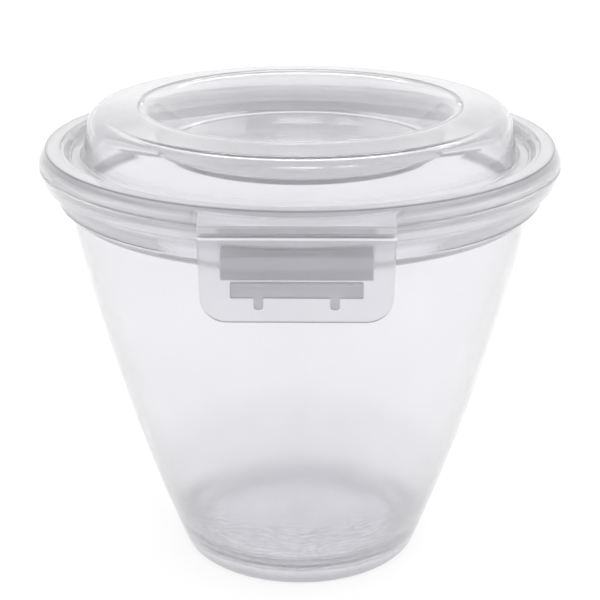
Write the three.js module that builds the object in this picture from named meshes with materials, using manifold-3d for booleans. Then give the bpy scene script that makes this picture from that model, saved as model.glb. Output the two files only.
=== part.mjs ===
// Clip-lid food tub: a bowed, tapered polypropylene tub with a stepped rim, a ring-domed lid with a
// stacking recess, and two flaps on living hinges that hook under ledges on the tub.
// Millimetres, +Z up. The origin is the centre of the foot, and the front flap faces -Y.

import * as THREE from "three";
import { mergeVertices } from "three/addons/utils/BufferGeometryUtils.js";
import Module from "manifold-3d";

// Facets
const SEGMENTS = 60;
const WALL_STEPS = 6;

// Tub body
const RIM_RADIUS = 60.0;
const RIM_HEIGHT = 97.8;
const BASE_RADIUS = 28.5;
const WALL_BOW = 2.15;
const WALL = 1.4;
const BASE_EDGE_ROUND = 2.0;

// Tub floor and foot
const FLOOR_HEIGHT = 5.8;
const FLOOR_THICKNESS = 1.4;
const FLOOR_CORNER_ROUND = 3.4;
const FOOT_RECESS_RADIUS = 24.6;
const FOOT_RECESS_DRAFT = 0.3;
const PANEL_RADIUS = 18.0;
const PANEL_STEP = 0.35;
const GATE_RADIUS = 2.3;
const GATE_DEPTH = 0.45;

// Tub rim
const RIM_OVERHANG = 4.0;
const NECK_HEIGHT = 8.3;
const STEP_OVERHANG = 2.6;
const STEP_RISE = 1.9;
const RIM_BAND = 3.6;
const RIM_BAND_DRAFT = 0.9;
const RIM_THICKNESS = 1.4;
const RIM_BEVEL = 0.4;
const TONGUE_THICKNESS = 1.4;
const TONGUE_RISE = 1.9;

// Lid
const LID_WALL = 1.2;
const SKIRT_CLEARANCE = 0.3;
const SEAT_CLEARANCE = 0.02;
const PLUG_CLEARANCE = 0.3;
const PLUG_DEPTH = 4.3;
const PLUG_DRAFT = 0.2;
const FLANGE_THICKNESS = 1.6;
const FLANGE_OUTER_ROUND = 2.4;
const FLANGE_INNER_ROUND = 1.6;
const CHANNEL_WIDTH = 3.0;
const CHANNEL_DEPTH = 2.6;
const DOME_HEIGHT = 11.2;
const DOME_WALL_DRAFT = 2.1;
const DOME_FALL = 1.1;
const DOME_ROUND = 3.0;
const CROWN_INSET = 5.2;
const CROWN_ROUND = 10.0;
const LIP_FALL = 1.6;
const LIP_ROUND = 2.5;
const RECESS_FLOOR_RADIUS = 31.4;
const RECESS_DRAFT = 3.9;
const RECESS_DEPTH = 9.8;
const RECESS_ROUND = 1.6;

// Clips
const CLIP_WIDTH = 38.8;
const CLIP_REACH = 3.4;
const ROOT_HEIGHT = 1.8;
const ROOT_RISE = 1.1;
const HINGE_GAP = 0.6;
const HINGE_WEB = 0.5;
const HINGE_WEB_INSET = 0.8;
const FLAP_HEIGHT = 17.7;
const FLAP_THICKNESS = 1.3;
const FLAP_TAPER = 0.3;
const FLAP_CORNER = 5.3;

// Latch: the ledge on the tub and the hook bar inside the flap
const LEDGE_WIDTH = 30.2;
const LEDGE_HEIGHT = 6.0;
const LEDGE_CHAMFER = 0.5;
const LEDGE_RAMP = 1.3;
const LEDGE_CLEARANCE = 0.4;
const LEDGE_WELD = 0.2;
const HOOK_WIDTH = 26.2;
const HOOK_HEIGHT = 3.0;
const HOOK_BITE = 1.1;
const HOOK_TIP = 0.9;
const HOOK_CLEARANCE = 0.5;
const GUSSET_SPACING = 15.1;
const GUSSET_WIDTH = 1.9;
const GUSSET_HEIGHT = 2.4;
const GUSSET_DEPTH = 0.9;

// Heights and radii that follow from the sizes above
const FLOOR_UNDERSIDE = FLOOR_HEIGHT - FLOOR_THICKNESS;
const STEP_RADIUS = RIM_RADIUS - RIM_OVERHANG;
const STEP_HEIGHT = RIM_HEIGHT - NECK_HEIGHT;
const SHOULDER_RADIUS = STEP_RADIUS - STEP_OVERHANG;
const SHOULDER_HEIGHT = STEP_HEIGHT - STEP_RISE;
const BAND_BOTTOM = RIM_HEIGHT - RIM_BAND;
const BAND_RADIUS = RIM_RADIUS - RIM_BAND_DRAFT;
const BAND_INNER = BAND_RADIUS - RIM_THICKNESS;
const FLANGE_UNDERSIDE = RIM_HEIGHT - RIM_THICKNESS;
const TONGUE_TOP = RIM_HEIGHT + TONGUE_RISE;
const TONGUE_INNER = STEP_RADIUS - TONGUE_THICKNESS;
const SKIRT_BOTTOM = RIM_HEIGHT + SKIRT_CLEARANCE;
const SEAT_HEIGHT = TONGUE_TOP + SEAT_CLEARANCE;
const FLANGE_TOP = SEAT_HEIGHT + FLANGE_THICKNESS;
const PLUG_RADIUS = TONGUE_INNER - PLUG_CLEARANCE;
const CHANNEL_FLOOR = FLANGE_TOP - CHANNEL_DEPTH;
const CHANNEL_OUTER = PLUG_RADIUS - LID_WALL;
const DOME_BASE = CHANNEL_OUTER - CHANNEL_WIDTH;
const DOME_SHOULDER = DOME_BASE - DOME_WALL_DRAFT;
const DOME_TOP = CHANNEL_FLOOR + DOME_HEIGHT;
const RECESS_FLOOR = DOME_TOP - RECESS_DEPTH;
const LIP_RADIUS = RECESS_FLOOR_RADIUS + RECESS_DRAFT;
const CROWN_RADIUS = LIP_RADIUS + CROWN_INSET;
const CLIP_FACE = RIM_RADIUS + CLIP_REACH;
const FLAP_TOP = SKIRT_BOTTOM - HINGE_GAP;
const FLAP_INNER = CLIP_FACE - FLAP_THICKNESS;
const LEDGE_FACE = FLAP_INNER - LEDGE_CLEARANCE;
const LEDGE_BOTTOM = BAND_BOTTOM - LEDGE_HEIGHT;
const HOOK_TOP = LEDGE_BOTTOM - HOOK_CLEARANCE;
const HOOK_REACH = LEDGE_FACE - HOOK_BITE;

const wasm = await Module();
wasm.setup();

// A geometry as a solid for joining and cutting.
function solidOf(geometry) {
  const bare = geometry.index ? geometry.toNonIndexed() : geometry.clone();
  bare.deleteAttribute("normal");
  bare.deleteAttribute("uv");
  const merged = mergeVertices(bare, 1e-4);
  const vertProperties = merged.attributes.position.array;
  const triVerts = new Uint32Array(merged.index.array);
  return new wasm.Manifold(new wasm.Mesh({ numProp: 3, vertProperties, triVerts }));
}

// A solid as a geometry again.
function geometryOf(solid) {
  const { vertProperties, triVerts } = solid.getMesh();
  const geometry = new THREE.BufferGeometry();
  geometry.setAttribute("position", new THREE.BufferAttribute(vertProperties, 3));
  geometry.setIndex(new THREE.BufferAttribute(triVerts, 1));
  geometry.computeVertexNormals();
  return geometry;
}

// Corners [radius, height, rounding] as profile points, with each rounding an arc of a few steps,
// limited to half of the shorter side that meets it.
function rounded(corners, steps = 3) {
  const points = [];
  corners.forEach(([x, y, round = 0], i) => {
    const corner = new THREE.Vector2(x, y);
    if (!round || i === 0 || i === corners.length - 1) {
      points.push(corner);
      return;
    }
    const before = new THREE.Vector2(corners[i - 1][0], corners[i - 1][1]).sub(corner);
    const after = new THREE.Vector2(corners[i + 1][0], corners[i + 1][1]).sub(corner);
    const shorter = Math.min(before.length(), after.length());
    before.normalize();
    after.normalize();
    const half = Math.acos(THREE.MathUtils.clamp(before.dot(after), -1, 1)) / 2;
    const reach = Math.min(round / Math.tan(half), shorter * 0.5);
    const radius = reach * Math.tan(half);
    const middle = before.clone().add(after).normalize();
    const centre = corner.clone().addScaledVector(middle, radius / Math.sin(half));
    const start = corner.clone().addScaledVector(before, reach).sub(centre);
    const end = corner.clone().addScaledVector(after, reach).sub(centre);
    const sweep = Math.atan2(start.cross(end), start.dot(end));
    for (let k = 0; k <= steps; k++) {
      const turned = start.clone().rotateAround(new THREE.Vector2(), (sweep * k) / steps);
      points.push(turned.add(centre));
    }
  });
  return points;
}

// The corners between the first and the last, moved under the line through them by a wall's thickness.
function under(corners, thickness) {
  return corners.slice(1, -1).map(([x, y], i) => {
    const corner = new THREE.Vector2(x, y);
    const from = corner.clone().sub(new THREE.Vector2(corners[i][0], corners[i][1])).normalize();
    const to = new THREE.Vector2(corners[i + 2][0], corners[i + 2][1]).sub(corner).normalize();
    const across = new THREE.Vector2(from.y + to.y, -from.x - to.x);
    return corner.addScaledVector(across, thickness / (1 + from.dot(to))).toArray();
  });
}

// A profile of radius and height turned about Z.
function revolve(points) {
  return solidOf(new THREE.LatheGeometry(points, SEGMENTS).rotateX(Math.PI / 2));
}

// A profile of depth (out from the axis) and height, extruded across the front to a width.
function acrossFront(points, width) {
  const shape = new THREE.Shape(points.map(([out, up]) => new THREE.Vector2(up, -out)));
  const geometry = new THREE.ExtrudeGeometry(shape, { depth: width, bevelEnabled: false });
  geometry.translate(0, 0, -width / 2);
  const turn = new THREE.Matrix4().makeBasis(
    new THREE.Vector3(0, 0, 1),
    new THREE.Vector3(0, 1, 0),
    new THREE.Vector3(-1, 0, 0),
  );
  return solidOf(geometry.applyMatrix4(turn));
}

// A cylinder about Z between two heights.
function cylinder(radius, low, high) {
  const geometry = new THREE.CylinderGeometry(radius, radius, high - low, SEGMENTS);
  return solidOf(geometry.rotateX(Math.PI / 2).translate(0, 0, (low + high) / 2));
}

// How far out from the axis a round wall still is at the ends of a width across it.
function chordDepth(radius, width) {
  return Math.sqrt(radius ** 2 - (width / 2) ** 2);
}

// The same solid on the opposite side of the axis.
function opposite(solid) {
  return solid.rotate([0, 0, 180]);
}

// Outside of the bowed wall at a height.
function wallRadius(height) {
  const t = height / SHOULDER_HEIGHT;
  return BASE_RADIUS + (SHOULDER_RADIUS - BASE_RADIUS) * t + 4 * WALL_BOW * t * (1 - t);
}

// Points up the bowed wall, set in by a thickness.
function wallPoints(low, high, inset) {
  const points = [];
  for (let k = 0; k <= WALL_STEPS; k++) {
    const height = low + ((high - low) * k) / WALL_STEPS;
    points.push([wallRadius(height) - inset, height]);
  }
  return points;
}

// The ledge under the rim band that a flap's hook catches. Above it, the groove behind the band is filled.
function ledge() {
  const inner = chordDepth(STEP_RADIUS, LEDGE_WIDTH) - TONGUE_THICKNESS;
  const top = BAND_BOTTOM + LEDGE_WELD;
  const block = acrossFront(
    [
      [inner, LEDGE_BOTTOM],
      [LEDGE_FACE - LEDGE_CHAMFER, LEDGE_BOTTOM],
      [LEDGE_FACE, LEDGE_BOTTOM + LEDGE_CHAMFER],
      [LEDGE_FACE, top - LEDGE_RAMP],
      [LEDGE_FACE - LEDGE_RAMP, top],
      [inner, top],
    ],
    LEDGE_WIDTH,
  );
  const ceiling = RIM_HEIGHT - RIM_THICKNESS / 2;
  const filling = acrossFront(
    [
      [inner, LEDGE_BOTTOM],
      [LEDGE_FACE, LEDGE_BOTTOM],
      [LEDGE_FACE, ceiling],
      [inner, ceiling],
    ],
    LEDGE_WIDTH,
  ).intersect(cylinder(BAND_INNER + RIM_THICKNESS / 2, 0, TONGUE_TOP));
  return block.add(filling).subtract(cylinder(STEP_RADIUS - TONGUE_THICKNESS / 2, 0, TONGUE_TOP));
}

function tub() {
  const wallStart = BASE_EDGE_ROUND * 1.5;
  const outside = [
    [0, FLOOR_UNDERSIDE + PANEL_STEP - GATE_DEPTH],
    [GATE_RADIUS, FLOOR_UNDERSIDE + PANEL_STEP - GATE_DEPTH],
    [GATE_RADIUS, FLOOR_UNDERSIDE + PANEL_STEP],
    [PANEL_RADIUS, FLOOR_UNDERSIDE + PANEL_STEP],
    [PANEL_RADIUS, FLOOR_UNDERSIDE],
    [FOOT_RECESS_RADIUS - FOOT_RECESS_DRAFT, FLOOR_UNDERSIDE],
    [FOOT_RECESS_RADIUS, 0],
    [BASE_RADIUS, 0, BASE_EDGE_ROUND],
    ...wallPoints(wallStart, SHOULDER_HEIGHT, 0),
    [STEP_RADIUS, STEP_HEIGHT],
    [STEP_RADIUS, FLANGE_UNDERSIDE],
    [BAND_INNER, FLANGE_UNDERSIDE],
    [BAND_INNER, BAND_BOTTOM],
    [BAND_RADIUS, BAND_BOTTOM],
    [RIM_RADIUS, RIM_HEIGHT - RIM_BEVEL],
    [RIM_RADIUS - RIM_BEVEL, RIM_HEIGHT],
    [STEP_RADIUS, RIM_HEIGHT],
    [STEP_RADIUS, TONGUE_TOP],
    [TONGUE_INNER, TONGUE_TOP],
  ];
  const inside = [
    [TONGUE_INNER, STEP_HEIGHT + WALL / 2],
    ...wallPoints(FLOOR_HEIGHT + FLOOR_CORNER_ROUND, SHOULDER_HEIGHT + WALL / 2, WALL).reverse(),
    [wallRadius(FLOOR_HEIGHT) - WALL, FLOOR_HEIGHT, FLOOR_CORNER_ROUND],
    [0, FLOOR_HEIGHT],
  ];
  const body = revolve(rounded([...outside, ...inside], 4));
  return body.add(ledge()).add(opposite(ledge()));
}

// The lid's thickened root, whose straight front edge carries a living hinge.
function clipRoot() {
  const inner = chordDepth(RIM_RADIUS, CLIP_WIDTH) - LID_WALL;
  const block = acrossFront(
    [
      [inner, SKIRT_BOTTOM],
      [CLIP_FACE, SKIRT_BOTTOM],
      [CLIP_FACE, SKIRT_BOTTOM + ROOT_HEIGHT],
      [inner, SKIRT_BOTTOM + ROOT_HEIGHT + ROOT_RISE],
    ],
    CLIP_WIDTH,
  );
  return block.subtract(cylinder(RIM_RADIUS - LID_WALL / 2, 0, DOME_TOP));
}

function lid() {
  const dome = [
    [0, RECESS_FLOOR],
    [RECESS_FLOOR_RADIUS, RECESS_FLOOR, RECESS_ROUND],
    [LIP_RADIUS, DOME_TOP - LIP_FALL, LIP_ROUND],
    [CROWN_RADIUS, DOME_TOP, CROWN_ROUND],
    [DOME_SHOULDER, DOME_TOP - DOME_FALL, DOME_ROUND],
    [DOME_BASE, CHANNEL_FLOOR, LID_WALL],
  ];
  const [recess, lip, crown, shoulder] = under(dome, LID_WALL);
  const above = [
    ...dome,
    [CHANNEL_OUTER, CHANNEL_FLOOR, LID_WALL],
    [CHANNEL_OUTER + LID_WALL, FLANGE_TOP, FLANGE_INNER_ROUND],
    [RIM_RADIUS, FLANGE_TOP, FLANGE_OUTER_ROUND],
    [RIM_RADIUS, SKIRT_BOTTOM],
  ];
  const below = [
    [RIM_RADIUS - LID_WALL, SKIRT_BOTTOM],
    [RIM_RADIUS - LID_WALL, SEAT_HEIGHT],
    [PLUG_RADIUS, SEAT_HEIGHT],
    [PLUG_RADIUS - PLUG_DRAFT, SEAT_HEIGHT - PLUG_DEPTH],
    [PLUG_RADIUS - LID_WALL, SEAT_HEIGHT - PLUG_DEPTH],
    [PLUG_RADIUS - LID_WALL, CHANNEL_FLOOR - LID_WALL],
    [DOME_BASE - LID_WALL, CHANNEL_FLOOR - LID_WALL],
    [...shoulder, DOME_ROUND - LID_WALL],
    [...crown, CROWN_ROUND - LID_WALL],
    [...lip, LIP_ROUND - LID_WALL],
    [...recess, LID_WALL],
    [0, RECESS_FLOOR - LID_WALL],
  ];
  const body = revolve(rounded([...above, ...below], 3).reverse());
  return body.add(clipRoot()).add(opposite(clipRoot()));
}

// A flap: a tapered plate with round lower corners, a hook bar inside it and two gussets under the bar.
function flap() {
  const top = CLIP_WIDTH / 2;
  const low = top - FLAP_TAPER;
  const outline = new THREE.Shape();
  outline.moveTo(-top, 0);
  outline.lineTo(-low, FLAP_CORNER - FLAP_HEIGHT);
  outline.absarc(FLAP_CORNER - low, FLAP_CORNER - FLAP_HEIGHT, FLAP_CORNER, Math.PI, Math.PI * 1.5);
  outline.lineTo(low - FLAP_CORNER, -FLAP_HEIGHT);
  outline.absarc(low - FLAP_CORNER, FLAP_CORNER - FLAP_HEIGHT, FLAP_CORNER, Math.PI * 1.5, Math.PI * 2);
  outline.lineTo(top, 0);
  outline.closePath();
  const plate = new THREE.ExtrudeGeometry(outline, {
    depth: FLAP_THICKNESS,
    bevelEnabled: false,
    curveSegments: 8,
  });
  plate.rotateX(Math.PI / 2).translate(0, -FLAP_INNER, FLAP_TOP);
  const sunk = FLAP_THICKNESS / 2;
  const bar = acrossFront(
    [
      [FLAP_INNER + sunk, HOOK_TOP],
      [FLAP_INNER + sunk, HOOK_TOP - HOOK_HEIGHT],
      [FLAP_INNER - GUSSET_DEPTH / 2, HOOK_TOP - HOOK_HEIGHT],
      [HOOK_REACH, HOOK_TOP - HOOK_TIP],
      [HOOK_REACH, HOOK_TOP],
    ],
    HOOK_WIDTH,
  );
  const gusset = acrossFront(
    [
      [FLAP_INNER + sunk, HOOK_TOP - HOOK_HEIGHT / 2],
      [FLAP_INNER + sunk, HOOK_TOP - HOOK_HEIGHT - GUSSET_HEIGHT],
      [FLAP_INNER, HOOK_TOP - HOOK_HEIGHT - GUSSET_HEIGHT],
      [FLAP_INNER - GUSSET_DEPTH, HOOK_TOP - HOOK_HEIGHT - GUSSET_HEIGHT / 2],
      [FLAP_INNER - GUSSET_DEPTH, HOOK_TOP - HOOK_HEIGHT / 2],
    ],
    GUSSET_WIDTH,
  );
  return solidOf(plate)
    .add(bar)
    .add(gusset.translate([GUSSET_SPACING / 2, 0, 0]))
    .add(gusset.translate([-GUSSET_SPACING / 2, 0, 0]));
}

// The thin web of a living hinge, between the lid's root and a flap.
function hingeWeb() {
  const low = FLAP_TOP;
  const high = SKIRT_BOTTOM;
  const web = new THREE.BoxGeometry(CLIP_WIDTH - 2 * HINGE_WEB_INSET, HINGE_WEB, high - low);
  return solidOf(web.translate(0, HINGE_WEB / 2 - CLIP_FACE, (low + high) / 2));
}

const clearPlastic = new THREE.MeshStandardMaterial({
  color: 0xe9e9ee,
  roughness: 0.3,
  metalness: 0,
  transparent: true,
  opacity: 0.5,
});
const frostedPlastic = new THREE.MeshStandardMaterial({
  color: 0xdfdfe4,
  roughness: 0.5,
  metalness: 0,
  transparent: true,
  opacity: 0.7,
});

function piece(name, solid, material) {
  const mesh = new THREE.Mesh(geometryOf(solid), material);
  mesh.name = name;
  return mesh;
}

const container = new THREE.Group();
container.add(piece("tub", tub(), clearPlastic));

const lidAssembly = new THREE.Group();
lidAssembly.add(piece("lid", lid(), clearPlastic));
lidAssembly.add(piece("front_hinge", hingeWeb(), frostedPlastic));
lidAssembly.add(piece("rear_hinge", opposite(hingeWeb()), frostedPlastic));
lidAssembly.add(piece("front_flap", flap(), frostedPlastic));
lidAssembly.add(piece("rear_flap", opposite(flap()), frostedPlastic));
container.add(lidAssembly);

export default container;
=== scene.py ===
"""Clip-lid food tub in translucent plastic: shells, hinge webs, materials, light and camera."""

import math

import bmesh
import bpy
import numpy as np
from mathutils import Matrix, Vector


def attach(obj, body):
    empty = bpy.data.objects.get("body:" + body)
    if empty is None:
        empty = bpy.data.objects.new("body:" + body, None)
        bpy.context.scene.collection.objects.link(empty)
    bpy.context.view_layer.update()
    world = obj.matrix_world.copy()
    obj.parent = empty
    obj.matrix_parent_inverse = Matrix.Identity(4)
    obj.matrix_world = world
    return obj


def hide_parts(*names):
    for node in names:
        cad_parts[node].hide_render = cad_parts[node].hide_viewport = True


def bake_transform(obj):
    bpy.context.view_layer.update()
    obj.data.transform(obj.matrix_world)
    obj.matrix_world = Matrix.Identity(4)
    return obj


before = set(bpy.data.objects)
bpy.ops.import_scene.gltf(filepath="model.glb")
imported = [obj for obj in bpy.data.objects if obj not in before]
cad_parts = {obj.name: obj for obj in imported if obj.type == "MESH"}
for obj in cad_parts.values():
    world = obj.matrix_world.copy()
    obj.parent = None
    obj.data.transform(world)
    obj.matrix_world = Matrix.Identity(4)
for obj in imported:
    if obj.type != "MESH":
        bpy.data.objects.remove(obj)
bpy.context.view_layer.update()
scene = bpy.context.scene
MM = 0.001
AROUND = 240  # sides of a full turn

# Sizes of the tub, as in the solids (mm)
GATE_RADIUS = 2.3
GATE_UNDER = 4.3
DISH_RADIUS = 18
DISH_UNDER = 4.75
FLOOR_UNDER = 4.4
FLOOR_HEIGHT = 5.8
FOOT_RADIUS = 24.6
FOOT_TOP_RADIUS = 24.3
BASE_RADIUS = 28.5
SHOULDER_RADIUS = 53.4
SHOULDER_HEIGHT = 87.6
WALL_BOW = 2.15
WALL = 1.4
OUTER_WALL = (3.0, 86.9, 26)  # first height, last height, rows
INNER_WALL = (88.3, 17.0, 22)
NECK_RADIUS = 56
NECK_BOTTOM = 89.5
NECK_TAPER_TOP = 94.2
BAND_INNER = 57.7
BAND_OUTER = 59.1
BAND_BOTTOM = 94.2
BAND_TOP = 97.4
RIM_UNDERSIDE = 96.4
RIM_TOP = 97.8
RIM_TOP_RADIUS = 59.6
TONGUE_INNER = 54.6
TONGUE_TOP = 99.7
LEDGE_WIDTH = 30.2
LEDGE_FACE = 61.7
LEDGE_BACK = 52.5
LEDGE_BOTTOM = 88.2
LEDGE_TOP = 94.4
LEDGE_CHAMFER = 1.3
FILLING_INNER = 55.3
FILLING_MIDDLE = 57.0
FILLING_OUTER = 58.4
FILLING_BOTTOM = LEDGE_BOTTOM + 0.6
FILLING_TOP = 97.1
CUT_TOP = 120

# Sizes of the lid (mm)
RIM_RADIUS = 60.0
LID_WALL = 1.2
RECESS_RADIUS = 31.4
RECESS_FLOOR = 100.12
DOME_TOP = 110.1
DOME_LIP = 35.2
DOME_SHOULDER = 48.2
DOME_FOOT = 50.1
DOME_INNER_FOOT = 48.9
CROWN_LEAN = 1.25
CHANNEL_FLOOR = 98.72
CHANNEL_UNDERSIDE = 97.52
CHANNEL_OUTER = 53.1
FLANGE_INNER = 54.3
FLANGE_TOP = 101.32
FLANGE_UNDERSIDE = 99.72
CREST_RADIUS = 58.3
SLANT_RADIUS = 59.7
SLANT_BOTTOM = 99.1
SKIRT_INNER = 58.8
SKIRT_BOTTOM = 98.1
PLUG_OUTER = 54.1
PLUG_BOTTOM = 95.42

# Sizes of the clips (mm)
CLIP_FACE = 63.4
CLIP_WIDTH = 38.8
ROOT_TOP = 99.9
ROOT_SLOPE = 0.14
ROOT_FLARE = 2.5
ROOT_CORNER = 0.6
ROOT_SINK = 0.04
ROOT_BACK = 59.3
FLAP_TOP = 97.5
FLAP_BOTTOM = 79.8
FLAP_INNER = 62.1
FLAP_TAPER = 0.3
FLAP_CORNER = 5.3
HOOK_TOP = 87.7
HOOK_BOTTOM = 84.7
HOOK_REACH = 60.6
HOOK_NOSE = 0.9
HOOK_WIDTH = 26.2
GUSSET_SPACING = 15.1
GUSSET_WIDTH = 1.9
GUSSET_BOTTOM = 82.3
GUSSET_DEPTH = 0.9
GUSSET_ROUNDING = 0.6  # height of the rounded end, as a share of half the width
GUSSET_OVERLAP = 1.2
SUNK_IN_PLATE = 0.6
HINGE_INSET = 0.8
HINGE_WEB = 0.5
HINGE_OVERLAP = 0.12
HINGE_SETBACK = 0.06
HINGE_WAIST_OUTER = 0.2
HINGE_WAIST_INNER = 0.06


# Profiles

def rounded(corners, steps=5):
    """Corners (radius, height, rounding) as points, each rounding an arc of the same steps."""
    points = []
    for i, corner in enumerate(corners):
        here = Vector(corner[:2])
        rounding = corner[2] if len(corner) > 2 else 0
        if not rounding or i in (0, len(corners) - 1):
            points.append(here)
            continue
        before = Vector(corners[i - 1][:2]) - here
        after = Vector(corners[i + 1][:2]) - here
        shorter = min(before.length, after.length)
        before.normalize()
        after.normalize()
        half = math.acos(max(-1.0, min(1.0, before.dot(after)))) / 2
        reach = min(rounding / math.tan(half), shorter * 0.48)
        radius = reach * math.tan(half)
        centre = here + (before + after).normalized() * (radius / math.sin(half))
        start = here + before * reach - centre
        end = here + after * reach - centre
        sweep = math.atan2(start.x * end.y - start.y * end.x, start.dot(end))
        for k in range(steps + 1):
            turn = sweep * k / steps
            x = start.x * math.cos(turn) - start.y * math.sin(turn)
            y = start.x * math.sin(turn) + start.y * math.cos(turn)
            points.append(centre + Vector((x, y)))
    return points


def under(corners, thickness):
    """The corners between the first and the last, moved under their line by a wall's thickness."""
    out = []
    for before, here, after in zip(corners, corners[1:], corners[2:]):
        corner = Vector(here[:2])
        to_here = (corner - Vector(before[:2])).normalized()
        onward = (Vector(after[:2]) - corner).normalized()
        across = Vector((to_here.y + onward.y, -to_here.x - onward.x))
        out.append(tuple(corner + across * (thickness / (1 + to_here.dot(onward)))))
    return out


def spacing(points, longest=4.0, support=0.3):
    """Shares that divide each side of a profile, with crisp shading kept at its rounded edges."""
    shares = []
    for a, b in zip(points, points[1:]):
        length = (b - a).length
        if length < 4 * support:
            shares.append([0.0])
            continue
        first = support / length
        count = max(1, math.ceil((length - 2 * support) / longest))
        middle = [first + (1 - 2 * first) * k / count for k in range(count + 1)]
        shares.append([0.0, *middle])
    return shares


def spread(points):
    """A profile's points with its sides divided."""
    out = []
    for a, b, side in zip(points, points[1:], spacing(points)):
        out.extend(a.lerp(b, t) for t in side)
    out.append(points[-1])
    return out


# Meshes

def smooth(mesh, angle=34):
    mesh.shade_smooth()
    mesh.set_sharp_from_angle(angle=math.radians(angle))


def made(name, bm):
    """An object from a bmesh, with outward normals, smooth shading and sharp corners."""
    mesh = bpy.data.meshes.new(name)
    bmesh.ops.recalc_face_normals(bm, faces=bm.faces[:])
    bm.to_mesh(mesh)
    bm.free()
    obj = bpy.data.objects.new(name, mesh)
    scene.collection.objects.link(obj)
    smooth(mesh)
    return obj


def turned(name, profile):
    """A closed shell from a profile turned about the Z axis, starting at the front, which is -Y."""
    bm = bmesh.new()
    rings = []
    for angle in np.linspace(0, 2 * math.pi, AROUND, endpoint=False):
        s = math.sin(angle)
        c = math.cos(angle)
        rings.append([bm.verts.new((p.x * s * MM, -p.x * c * MM, p.y * MM)) for p in profile])
    for ring, following in zip(rings, rings[1:] + rings[:1]):
        for k in range(len(ring) - 1):
            bm.faces.new((ring[k], ring[k + 1], following[k + 1], following[k]))
    bmesh.ops.remove_doubles(bm, verts=bm.verts[:], dist=1e-8)
    return made(name, bm)


def prism(name, outline, place, edge=0.0, edge_steps=3):
    """A closed prism with bevelled edges: place(u, v, end) puts an outline point on each end."""
    bm = bmesh.new()
    ends = [[bm.verts.new(Vector(place(u, v, end)) * MM) for u, v in outline] for end in (0, 1)]
    bm.faces.new(ends[0])
    bm.faces.new(list(reversed(ends[1])))
    count = len(outline)
    for k in range(count):
        following = (k + 1) % count
        bm.faces.new((ends[0][k], ends[1][k], ends[1][following], ends[0][following]))
    bmesh.ops.recalc_face_normals(bm, faces=bm.faces[:])
    if edge:
        sharp = [e for e in bm.edges if e.calc_face_angle(0) > math.radians(35)]
        bmesh.ops.bevel(
            bm, geom=sharp, offset=edge * MM, segments=edge_steps, profile=0.5, affect="EDGES"
        )
        # A narrow border keeps a large flat face flat in shading
        flat = [f for f in bm.faces if f.calc_area() > 4 * MM * MM]
        bmesh.ops.inset_individual(bm, faces=flat, thickness=0.06 * MM, use_even_offset=True)
    return made(name, bm)


def combined(body, operation, *others):
    """The body after the same boolean with each of the other closed shapes, which are used up."""
    for other in others:
        boolean = body.modifiers.new(operation.lower(), "BOOLEAN")
        boolean.operation = operation
        boolean.solver = "EXACT"
        boolean.object = other
    depsgraph = bpy.context.evaluated_depsgraph_get()
    mesh = bpy.data.meshes.new_from_object(body.evaluated_get(depsgraph))
    mesh.name = body.name
    body.modifiers.clear()
    body.data = mesh
    for other in others:
        bpy.data.objects.remove(other)
    smooth(mesh)
    return body


def half_turn(name, source):
    """A copy on the rear side."""
    mesh = source.data.copy()
    mesh.name = name
    for vertex in mesh.vertices:
        vertex.co.x = -vertex.co.x
        vertex.co.y = -vertex.co.y
    obj = bpy.data.objects.new(name, mesh)
    scene.collection.objects.link(obj)
    return obj


# Tub

def wall_radius(height):
    t = height / SHOULDER_HEIGHT
    return BASE_RADIUS + (SHOULDER_RADIUS - BASE_RADIUS) * t + 4 * WALL_BOW * t * (1 - t)


def tub_profile():
    """From the middle of the underside, up the outside, over the rim and down the inside."""
    outer_wall = [(wall_radius(h), h) for h in np.linspace(*OUTER_WALL)]
    inner_wall = [(wall_radius(h) - WALL, h) for h in np.linspace(*INNER_WALL)]
    return rounded([
        (0, GATE_UNDER),
        (GATE_RADIUS, GATE_UNDER, 0.15),
        (GATE_RADIUS, DISH_UNDER, 0.15),
        (DISH_RADIUS, DISH_UNDER, 0.2),
        (DISH_RADIUS, FLOOR_UNDER, 0.2),
        (FOOT_TOP_RADIUS, FLOOR_UNDER, 1.6),
        (FOOT_RADIUS, 0, 0.5),
        (BASE_RADIUS, 0, 2.0),
        *outer_wall,
        (SHOULDER_RADIUS, SHOULDER_HEIGHT, 0.3),
        (NECK_RADIUS, NECK_BOTTOM, 0.25),
        (NECK_RADIUS, RIM_UNDERSIDE, 0.4),
        (BAND_INNER, RIM_UNDERSIDE, 0.4),
        (BAND_INNER, BAND_BOTTOM, 0.3),
        (BAND_OUTER, BAND_BOTTOM, 0.3),
        (RIM_RADIUS, BAND_TOP, 0.25),
        (RIM_TOP_RADIUS, RIM_TOP, 0.1),
        (NECK_RADIUS, RIM_TOP, 0.3),
        (NECK_RADIUS, TONGUE_TOP, 0.4),
        (TONGUE_INNER, TONGUE_TOP, 0.4),
        (TONGUE_INNER, NECK_TAPER_TOP, 3.0),
        *inner_wall,
        (wall_radius(FLOOR_HEIGHT) - WALL, FLOOR_HEIGHT, 5.0),
        (0, FLOOR_HEIGHT),
    ])


def upright(radius, turn, height):
    """A point at a radius and a turn from the front."""
    return (radius * math.sin(turn), -radius * math.cos(turn), height)


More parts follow.
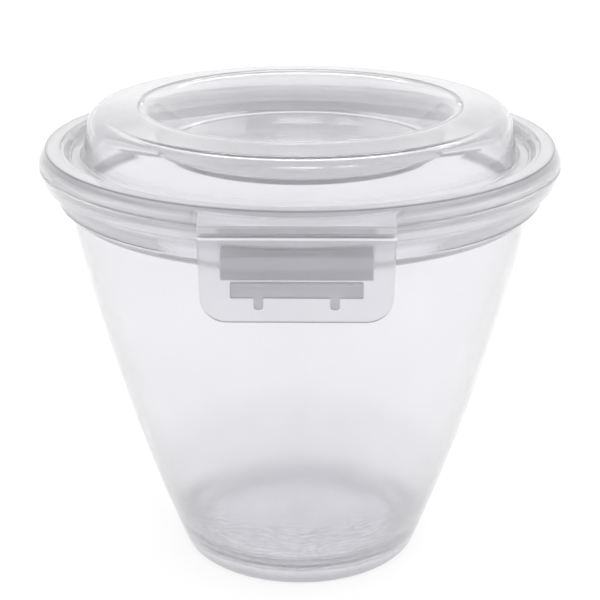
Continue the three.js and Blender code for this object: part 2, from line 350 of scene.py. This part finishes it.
def ledge(name):
    """The catch under the rim, with the groove behind the rim band filled above it."""
    half = LEDGE_WIDTH / 2
    block = prism(
        name,
        [
            (LEDGE_BACK, LEDGE_BOTTOM),
            (LEDGE_FACE, LEDGE_BOTTOM),
            (LEDGE_FACE, LEDGE_TOP - LEDGE_CHAMFER),
            (LEDGE_FACE - LEDGE_CHAMFER, LEDGE_TOP),
            (LEDGE_BACK, LEDGE_TOP),
        ],
        lambda out, up, end: (half if end else -half, -out, up),
        edge=0.35,
    )
    reach = math.asin(half / FILLING_MIDDLE)
    turns = np.linspace(-reach, reach, 25)
    filling = prism(
        name + "_filling",
        [(FILLING_OUTER, t) for t in turns] + [(FILLING_INNER, t) for t in reversed(turns)],
        lambda r, t, end: upright(r, t, FILLING_TOP if end else FILLING_BOTTOM),
    )
    inside = prism(
        name + "_inside",
        [(FILLING_INNER, t) for t in np.linspace(0, 2 * math.pi, AROUND, endpoint=False)],
        lambda r, t, end: upright(r, t, CUT_TOP if end else 0),
    )
    combined(block, "DIFFERENCE", inside)
    return combined(block, "UNION", filling)


tub = turned("tub_shell", spread(tub_profile()))
front_ledge = ledge("front_ledge")
rear_ledge = half_turn("rear_ledge", front_ledge)
combined(tub, "UNION", front_ledge, rear_ledge)


# Lid

def lid_profile():
    """From the middle of the recess, over the dome and the flange, and back along the underside."""
    dome = [
        (0, RECESS_FLOOR),
        (RECESS_RADIUS, RECESS_FLOOR, 1.6),
        (DOME_LIP, DOME_TOP, 3.2),
        (DOME_SHOULDER, DOME_TOP - CROWN_LEAN, 3.5),
        (DOME_FOOT, CHANNEL_FLOOR, 1.2),
    ]
    recess, lip, shoulder = under(dome, LID_WALL)
    return rounded([
        *dome,
        (CHANNEL_OUTER, CHANNEL_FLOOR, 1.2),
        (FLANGE_INNER, FLANGE_TOP, 1.6),
        (CREST_RADIUS, FLANGE_TOP, 0.3),
        (SLANT_RADIUS, SLANT_BOTTOM, 1.5),
        (RIM_RADIUS, SKIRT_BOTTOM, 0.15),
        (SKIRT_INNER, SKIRT_BOTTOM, 0.2),
        (SKIRT_INNER, FLANGE_UNDERSIDE, 0.3),
        (FLANGE_INNER, FLANGE_UNDERSIDE, 0.3),
        (PLUG_OUTER, PLUG_BOTTOM, 0.3),
        (CHANNEL_OUTER, PLUG_BOTTOM, 0.3),
        (CHANNEL_OUTER, CHANNEL_UNDERSIDE, 0.5),
        (DOME_INNER_FOOT, CHANNEL_UNDERSIDE, 0.8),
        (*shoulder, 2.3),
        (*lip, 2.0),
        (*recess, 0.8),
        (0, RECESS_FLOOR - LID_WALL),
    ], 9)


def root(name):
    """The thick block that a clip hangs from, flared at the sides where it leaves the lid's rim."""
    half = CLIP_WIDTH / 2
    meets = RIM_RADIUS - ROOT_SINK
    middle = Vector((half + ROOT_FLARE, 0))
    middle.y = math.sqrt((meets + ROOT_FLARE) ** 2 - middle.x ** 2)
    reach = math.atan2(middle.x, middle.y)
    first = math.atan2(-middle.y, -middle.x) % (2 * math.pi)
    side = [
        (middle.x + ROOT_FLARE * math.cos(t), middle.y + ROOT_FLARE * math.sin(t))
        for t in np.linspace(first, math.pi, 10)
    ]
    corner = [
        (
            half - ROOT_CORNER + ROOT_CORNER * math.cos(t),
            CLIP_FACE - ROOT_CORNER + ROOT_CORNER * math.sin(t),
        )
        for t in np.linspace(0, math.pi / 2, 6)
    ]
    right = [*side, *corner]
    left = [(-x, out) for x, out in reversed(right)]
    back = [
        (ROOT_BACK * math.sin(t), ROOT_BACK * math.cos(t)) for t in np.linspace(-reach, reach, 31)
    ]

    def place(x, out, end):
        top = ROOT_TOP + ROOT_SLOPE * (CLIP_FACE - out)
        return (x, -out, top if end else SKIRT_BOTTOM)

    return prism(name, right + left + back, place, edge=0.25)


lid = turned("lid_shell", spread(lid_profile()))
front_root = root("front_root")
rear_root = half_turn("rear_root", front_root)
combined(lid, "UNION", front_root, rear_root)


# Flaps and hinge webs

def flap_outline():
    top = CLIP_WIDTH / 2
    low = top - FLAP_TAPER
    steps = 12
    corner = []
    for k in range(steps + 1):
        turn = math.pi / 2 * k / steps
        corner.append((
            low - FLAP_CORNER + FLAP_CORNER * math.cos(turn),
            FLAP_BOTTOM + FLAP_CORNER - FLAP_CORNER * math.sin(turn),
        ))
    right = [(top, FLAP_TOP), *corner]
    return right + [(-x, z) for x, z in reversed(right)]


def gusset(name, middle, deep):
    """A short rib under the hook bar, rounded at its lower end."""
    half = GUSSET_WIDTH / 2
    rise = half * GUSSET_ROUNDING
    foot = [
        (half * math.cos(t), GUSSET_BOTTOM + rise - rise * math.sin(t))
        for t in np.linspace(0, math.pi, 9)
    ]
    top = HOOK_BOTTOM + GUSSET_OVERLAP
    return prism(
        name,
        [(half, top), *foot, (-half, top)],
        lambda x, z, end: (middle + x, -deep if end else GUSSET_DEPTH - FLAP_INNER, z),
    )


def flap(name):
    """A clip's plate with the hook bar and the gussets on its inner side."""
    plate = prism(
        name,
        flap_outline(),
        lambda x, z, end: (x, -CLIP_FACE if end else -FLAP_INNER, z),
        edge=0.3,
    )
    deep = FLAP_INNER + SUNK_IN_PLATE
    half = HOOK_WIDTH / 2
    bar = prism(
        name + "_bar",
        [
            (deep, HOOK_TOP),
            (deep, HOOK_BOTTOM),
            (FLAP_INNER - GUSSET_DEPTH / 2, HOOK_BOTTOM),
            (HOOK_REACH, HOOK_TOP - HOOK_NOSE),
            (HOOK_REACH, HOOK_TOP),
        ],
        lambda out, up, end: (half if end else -half, -out, up),
        edge=0.12,
        edge_steps=2,
    )
    gussets = [
        gusset(f"{name}_gusset", side * GUSSET_SPACING / 2, deep) for side in (-1, 1)
    ]
    return combined(plate, "UNION", bar, *gussets)


def hinge_web(name):
    """A thin strip, waisted along its middle, in rows along its height."""
    half = CLIP_WIDTH / 2 - HINGE_INSET
    low = FLAP_TOP - HINGE_OVERLAP
    high = SKIRT_BOTTOM + HINGE_OVERLAP
    rows = 12
    bm = bmesh.new()
    outer = []
    inner = []
    for k in range(rows + 1):
        t = k / rows
        z = low + (high - low) * t
        waist = math.sin(math.pi * t)
        outer.append((-CLIP_FACE + HINGE_SETBACK + HINGE_WAIST_OUTER * waist, z))
        inner.append((-CLIP_FACE + HINGE_WEB + HINGE_SETBACK - HINGE_WAIST_INNER * waist, z))
    loop = outer + inner[::-1]
    last = len(loop) - 1
    stations = np.linspace(-half, half, 33)
    rings = [[bm.verts.new((x * MM, y * MM, z * MM)) for y, z in loop] for x in stations]
    for ring, following in zip(rings, rings[1:]):
        for k in range(len(loop)):
            j = (k + 1) % len(loop)
            bm.faces.new((ring[k], ring[j], following[j], following[k]))
    for ring in (rings[0], rings[-1]):
        for k in range(rows):
            bm.faces.new((ring[k], ring[k + 1], ring[last - k - 1], ring[last - k]))
    return made(name, bm)


front_flap = flap("front_flap_shell")
rear_flap = half_turn("rear_flap_shell", front_flap)
front_web = hinge_web("front_hinge_web")
rear_web = half_turn("rear_hinge_web", front_web)


# Materials

IOR = 1.49
COAT_ROUGHNESS = 0.05
ABSORPTION = (0.0, 0.0, 0.12, 1)
SHADE_BLUE = 1.035  # a shaded tone is a little bluer
BUMP_STRENGTH = 0.3
BUMP_DISTANCE = 0.05 * MM
# Soft edge of the painted shade on the ribs behind a flap's plate
RIB_SHADE_EDGE = 0.08 * MM
POLISH = (86.8 * MM, 88.2 * MM)  # heights between which the tub turns glossier
FLOW_LINES = (7 * MM, 17 * MM, 8 * MM)  # bottom, top and soft edge of the lines low on the tub
FLOW_DEPTH = 0.7
FLOW_TONE = 0.7


class Nodes:
    """Short calls for building the node tree of a material or a world."""

    def __init__(self, owner, output="ShaderNodeOutputMaterial"):
        owner.use_nodes = True
        self.tree = owner.node_tree
        self.tree.nodes.clear()
        self.out = self.add(output)

    def add(self, kind, **settings):
        node = self.tree.nodes.new(kind)
        for key, value in settings.items():
            setattr(node, key, value)
        return node

    def link(self, source, target):
        self.tree.links.new(source, target)

    def feed(self, socket, value):
        """Links another node's output to a socket, or sets the socket to a constant."""
        if hasattr(value, "is_output"):
            self.link(value, socket)
        else:
            socket.default_value = value

    def number(self, operation, *values):
        node = self.add("ShaderNodeMath", operation=operation)
        for socket, value in zip(node.inputs, values):
            self.feed(socket, value)
        return node.outputs[0]

    def noise(self, vector, scale, detail=2.0, roughness=0.5):
        node = self.add("ShaderNodeTexNoise")
        node.inputs["Scale"].default_value = scale
        node.inputs["Detail"].default_value = detail
        node.inputs["Roughness"].default_value = roughness
        self.link(vector, node.inputs["Vector"])
        return node.outputs["Fac"]

    def radius(self, place):
        """The distance from the tub's axis."""
        flat = self.add("ShaderNodeVectorMath", operation="MULTIPLY")
        flat.inputs[1].default_value = (1, 1, 0)
        self.link(place, flat.inputs[0])
        length = self.add("ShaderNodeVectorMath", operation="LENGTH")
        self.link(flat.outputs["Vector"], length.inputs[0])
        return length.outputs["Value"]

    def ranged(self, value, low, high, to_low=0.0, to_high=1.0, kind="LINEAR"):
        node = self.add("ShaderNodeMapRange", interpolation_type=kind)
        node.inputs["From Min"].default_value = low
        node.inputs["From Max"].default_value = high
        node.inputs["To Min"].default_value = to_low
        node.inputs["To Max"].default_value = to_high
        self.link(value, node.inputs["Value"])
        return node.outputs["Result"]

    def band(self, value, low, high, soft):
        """1 between low and high, and 0 outside them, with soft edges."""
        rise = self.ranged(value, low - soft, low)
        fall = self.ranged(value, high, high + soft, 1.0, 0.0)
        return self.number("MULTIPLY", rise, fall)

    def mixed(self, factor, a, b, blend="MIX"):
        node = self.add("ShaderNodeMix", data_type="RGBA", blend_type=blend)
        for name, value in (("Factor", factor), ("A", a), ("B", b)):
            self.feed(node.inputs[name], value)
        return node.outputs["Result"]

    def shaded(self, colour, where, tone):
        """The colour, multiplied by a tone where the mask is 1."""
        shade = (tone, tone, min(1.0, tone * SHADE_BLUE), 1)
        return self.mixed(where, colour, shade, blend="MULTIPLY")


def flow_lines(n, place, up):
    """A mask of the fine wavy lines, longer than high, that moulding leaves low on the wall."""
    squeezed = n.add("ShaderNodeMapping")
    squeezed.inputs["Scale"].default_value = (1.0, 1.0, 7.0)
    n.link(place, squeezed.inputs["Vector"])
    streak = n.noise(squeezed.outputs["Vector"], 260.0, 3.0, 0.55)
    line = n.ranged(n.number("ABSOLUTE", n.number("SUBTRACT", streak, 0.5)), 0.0, 0.08, 1.0, 0.0)
    return n.number("MULTIPLY", line, n.band(up, *FLOW_LINES))


def plastic(
    name, pale, deep, clear, rough, coat, density, grain,
    moulded=False, rib_shade=None, haze=(), shade_bands=(),
):
    """Translucent moulded plastic: hazy gloss, fine grain, a tint that deepens with thickness, and
    painted shade on given zones.

    Each row of haze makes a zone milkier: by radius or height, start and end (mm), share.
    Each row that paints shade makes a zone darker: inner, outer, bottom, top, soft edge (mm), tone.
    The rib shade argument gives the depth behind which ribs stand, and the tone of the shade
    painted on them.
    """
    material = bpy.data.materials.new(name)
    n = Nodes(material)
    place = n.add("ShaderNodeTexCoord").outputs["Object"]
    parts = n.add("ShaderNodeSeparateXYZ")
    n.link(place, parts.inputs["Vector"])
    out = n.radius(place)
    up = parts.outputs["Z"]
    cloud = n.noise(place, 45.0, 3.0)
    fine = n.noise(place, 1600.0, 2.0)

    shader = n.add("ShaderNodeBsdfPrincipled")
    shader.inputs["IOR"].default_value = IOR
    shader.inputs["Coat Weight"].default_value = coat
    shader.inputs["Coat Roughness"].default_value = COAT_ROUGHNESS
    shader.inputs["Transmission Weight"].default_value = clear
    milky = 0.0
    for measure, start, end, share in haze:
        where = out if measure == "radius" else up
        zone = n.ranged(where, start * MM, end * MM, 0.0, share)
        milky = n.number("MAXIMUM", zone, milky)
    if haze:
        n.link(n.number("SUBTRACT", clear, milky), shader.inputs["Transmission Weight"])

    colour = n.mixed(n.ranged(cloud, 0.35, 0.65), (*pale, 1), (*deep, 1))
    # Painted shade on the hook bar and gussets, which stand behind the plate's inner face
    if rib_shade:
        inner_face, tone = rib_shade
        depth = n.number("ABSOLUTE", parts.outputs["Y"])
        behind = n.ranged(depth, inner_face - RIB_SHADE_EDGE, inner_face, 1.0, 0.0)
        colour = n.shaded(colour, behind, tone)
    # Painted shade, one zone for each row
    for inner, outer, bottom, top, soft, tone in shade_bands:
        across = n.band(out, inner * MM, outer * MM, soft * MM)
        along = n.band(up, bottom * MM, top * MM, soft * MM)
        colour = n.shaded(colour, n.number("MULTIPLY", across, along), tone)

    spots = n.number("MULTIPLY_ADD", fine, 0.5, 0.25)
    uneven = n.number("MULTIPLY", n.number("ADD", cloud, spots), 0.5)
    dull = n.ranged(uneven, 0.3, 0.7, *rough)
    height = n.number("MULTIPLY", fine, grain)
    if moulded:
        dull = n.number("MULTIPLY", dull, n.ranged(up, *POLISH, 1.0, 0.5))
        relief = n.number("MULTIPLY", flow_lines(n, place, up), FLOW_DEPTH)
        colour = n.shaded(colour, relief, FLOW_TONE)
        height = n.number("ADD", height, relief)
    n.link(colour, shader.inputs["Base Color"])
    n.link(dull, shader.inputs["Roughness"])
    bump = n.add("ShaderNodeBump")
    bump.inputs["Strength"].default_value = BUMP_STRENGTH
    bump.inputs["Distance"].default_value = BUMP_DISTANCE
    n.link(height, bump.inputs["Height"])
    n.link(bump.outputs["Normal"], shader.inputs["Normal"])

    inside = n.add("ShaderNodeVolumeAbsorption")
    inside.inputs["Color"].default_value = ABSORPTION
    inside.inputs["Density"].default_value = density
    n.link(shader.outputs["BSDF"], n.out.inputs["Surface"])
    n.link(inside.outputs["Volume"], n.out.inputs["Volume"])
    return material


tub_plastic = plastic(
    "tub_plastic",
    pale=(0.985, 0.98, 1.0),
    deep=(0.97, 0.965, 0.985),
    clear=0.91,
    rough=(0.12, 0.15),
    coat=0.5,
    density=13,
    grain=0.5,
    moulded=True,
    haze=(
        ("height", 91.0, 92.0, 0.16),  # rim
        ("radius", 60.3, 61.2, 0.68),  # ledges
    ),
    shade_bands=(
        (0, 30, -1, 1.6, 2.4, 0.65),  # foot ring, painted shadow where it stands on the floor
        (0, 20, 4, 6, 1.5, 0.92),  # raised floor, painted shade
        (2.0, 2.5, 3, 5, 0.4, 0.7),  # painted shade in the edge of the gate mark
        (53, 56.8, 87.2, 89.0, 0.2, 0.33),  # painted shadow on the wall under the neck's step
        (53, 56.8, 91.6, 93.2, 0.4, 0.84),  # painted shade on the neck, under the rim band
        (60.6, 66, 88, 94.6, 0.3, 0.78),  # painted shade on the ledges
    ),
)
lid_plastic = plastic(
    "lid_plastic",
    pale=(0.985, 0.98, 0.995),
    deep=(0.97, 0.965, 0.98),
    clear=0.95,
    rough=(0.05, 0.07),
    coat=0.5,
    density=20,
    grain=0.0,
    haze=(
        ("radius", 48.8, 50, 0.28),  # channel and flange
        ("radius", 41, 37, 0.17),  # recess
    ),
    shade_bands=(
        (58.2, 60.1, 100.2, 101.4, 0.9, 0.73),  # painted shade on the slanted face of the flange
        (58.15, 58.45, 101.05, 101.4, 0.08, 0.5),  # painted dark line of shade along the crest
        (59.75, 60.1, 98.0, 98.25, 0.1, 0.8),  # painted shade along the lower edge of the skirt, where it meets the tub
        (62.5, 65.1, 98.0, 99.2, 0.3, 0.74),  # painted shade on the faces of the clip roots
        (60.6, 67, 99.6, 101, 0.2, 0.88),  # painted shade on the tops of the clip roots
    ),
)
flap_plastic = plastic(
    "flap_plastic",
    pale=(0.97, 0.97, 0.985),
    deep=(0.955, 0.955, 0.97),
    clear=0.92,
    rough=(0.22, 0.26),
    coat=0.2,
    density=55,
    grain=0.9,
    # painted shade on the hook bar and gussets
    rib_shade=(FLAP_INNER * MM, 0.4),
    haze=(("height", 96.8, 97.0, 0.5),),  # edge below the web
)
hinge_plastic = plastic(
    "hinge_plastic",
    pale=(0.96, 0.96, 0.98),
    deep=(0.93, 0.93, 0.95),
    clear=0.9,
    rough=(0.18, 0.26),
    coat=0.2,
    density=120,
    grain=0.6,
)

for piece, body, node, slot, material in (
    (tub, "tub", "tub", "tub", tub_plastic),
    (lid, "lid", "lid", "lid", lid_plastic),
    (front_flap, "front_flap", "front_flap", "flap", flap_plastic),
    (rear_flap, "rear_flap", "rear_flap", "flap", flap_plastic),
):
    piece.data.materials.clear()
    piece.data.materials.append(material)
    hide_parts(node)
    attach(piece, body)

for web, node, flap_body, side in (
    (front_web, "front_hinge", "front_flap", -1),
    (rear_web, "rear_hinge", "rear_flap", 1),
):
    web.data.materials.clear()
    web.data.materials.append(hinge_plastic)
    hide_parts(node)
    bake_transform(web)


# Floor, light and camera

FLOOR_SIZE = 4.0
FLOOR_GAP = 0.02 * MM
FLOOR_MATT = 0.25
FLOOR_GLOW = 0.8
SKY_LEVELS = ((0.19, 1.0), (0.212, 0.42), (0.3, 0.55), (0.4, 0.85), (0.75, 1.0))  # height, grey
SKY_BLUE = 1.01
SKY_FLANK = (0.07, 0.13)  # where the grey gives way to white on both sides
SKY_FRONT = (-0.5, 0.0, 0.8, 1.0)  # behind the camera it is dimmer
CAMERA_TARGET = (0, 0, 0.06135)
CAMERA_DISTANCE = 0.3612
CAMERA_RISE = math.radians(20.23)
CAMERA_TURN = math.radians(0.6)
LID_MIDDLE = (0, 0, 0.1)


def floor():
    """A pale floor that keeps the shadow."""
    bm = bmesh.new()
    bmesh.ops.create_grid(bm, x_segments=2, y_segments=2, size=FLOOR_SIZE)
    obj = made("floor", bm)
    obj.location.z = -FLOOR_GAP
    material = bpy.data.materials.new("pale_floor")
    n = Nodes(material)
    matt = n.add("ShaderNodeBsdfDiffuse")
    matt.inputs["Color"].default_value = (FLOOR_MATT, FLOOR_MATT, FLOOR_MATT, 1)
    glow = n.add("ShaderNodeEmission")
    glow.inputs["Color"].default_value = (1, 1, 1, 1)
    glow.inputs["Strength"].default_value = FLOOR_GLOW
    both = n.add("ShaderNodeAddShader")
    n.link(matt.outputs["BSDF"], both.inputs[0])
    n.link(glow.outputs["Emission"], both.inputs[1])
    n.link(both.outputs["Shader"], n.out.inputs["Surface"])
    obj.data.materials.append(material)


def sky():
    """White all round, with a grey band above the horizon ahead and behind."""
    world = bpy.data.worlds.new("studio")
    scene.world = world
    n = Nodes(world, "ShaderNodeOutputWorld")
    parts = n.add("ShaderNodeSeparateXYZ")
    n.link(n.add("ShaderNodeTexCoord").outputs["Generated"], parts.inputs["Vector"])
    ramp = n.add("ShaderNodeValToRGB")
    n.link(parts.outputs["Z"], ramp.inputs["Fac"])
    elements = ramp.color_ramp.elements
    while len(elements) < len(SKY_LEVELS):
        elements.new(0.5)
    for element, (position, level) in zip(elements, SKY_LEVELS):
        element.position = position
        element.color = (level, level, level * SKY_BLUE, 1)
    sideways = n.number("ABSOLUTE", parts.outputs["X"])
    flank = n.ranged(sideways, *SKY_FLANK, kind="SMOOTHSTEP")
    seen = n.mixed(flank, ramp.outputs["Color"], (1, 1, 1, 1))
    front = n.ranged(parts.outputs["Y"], *SKY_FRONT, kind="SMOOTHSTEP")
    back = n.add("ShaderNodeBackground")
    n.link(n.mixed(1.0, seen, front, blend="MULTIPLY"), back.inputs["Color"])
    n.link(back.outputs["Background"], n.out.inputs["Surface"])


def lamp(name, position, target, size, power, mirrored=True):
    """A rectangular lamp that the camera doesn't see, and that the plastic mirrors or not."""
    data = bpy.data.lights.new(name, "AREA")
    data.shape = "RECTANGLE"
    data.size, data.size_y = size
    data.energy = power
    obj = bpy.data.objects.new(name, data)
    obj.location = position
    aim = Vector(target) - Vector(position)
    obj.rotation_euler = aim.to_track_quat("-Z", "Y").to_euler()
    obj.visible_camera = False
    obj.visible_transmission = mirrored
    obj.visible_glossy = mirrored
    scene.collection.objects.link(obj)


def camera():
    data = bpy.data.cameras.new("camera")
    data.sensor_width = 36
    data.lens = 90
    data.clip_start = 0.01
    obj = bpy.data.objects.new("camera", data)
    away = Vector((
        math.cos(CAMERA_RISE) * math.sin(CAMERA_TURN),
        -math.cos(CAMERA_RISE) * math.cos(CAMERA_TURN),
        math.sin(CAMERA_RISE),
    ))
    obj.location = Vector(CAMERA_TARGET) + CAMERA_DISTANCE * away
    obj.rotation_euler = (-away).to_track_quat("-Z", "Y").to_euler()
    scene.collection.objects.link(obj)
    scene.camera = obj


camera()
floor()
sky()
lamp("top_softbox", (0.1, -0.15, 0.9), (0, 0, 0.05), (0.9, 0.9), 5.0, mirrored=False)
lamp("strip_middle", (0.0, 0.72, 0.80), LID_MIDDLE, (0.42, 0.10), 0.4)
lamp("strip_right", (0.42, 0.62, 0.80), LID_MIDDLE, (0.2, 0.10), 0.18)
lamp("window_left", (-0.012, 1.0, 0.333), LID_MIDDLE, (0.046, 0.010), 0.009)
lamp("window_right", (0.038, 1.0, 0.333), LID_MIDDLE, (0.021, 0.010), 0.004)

scene.view_settings.view_transform = "Standard"
scene.cycles.max_bounces = 32
scene.cycles.transmission_bounces = 32
scene.cycles.glossy_bounces = 12
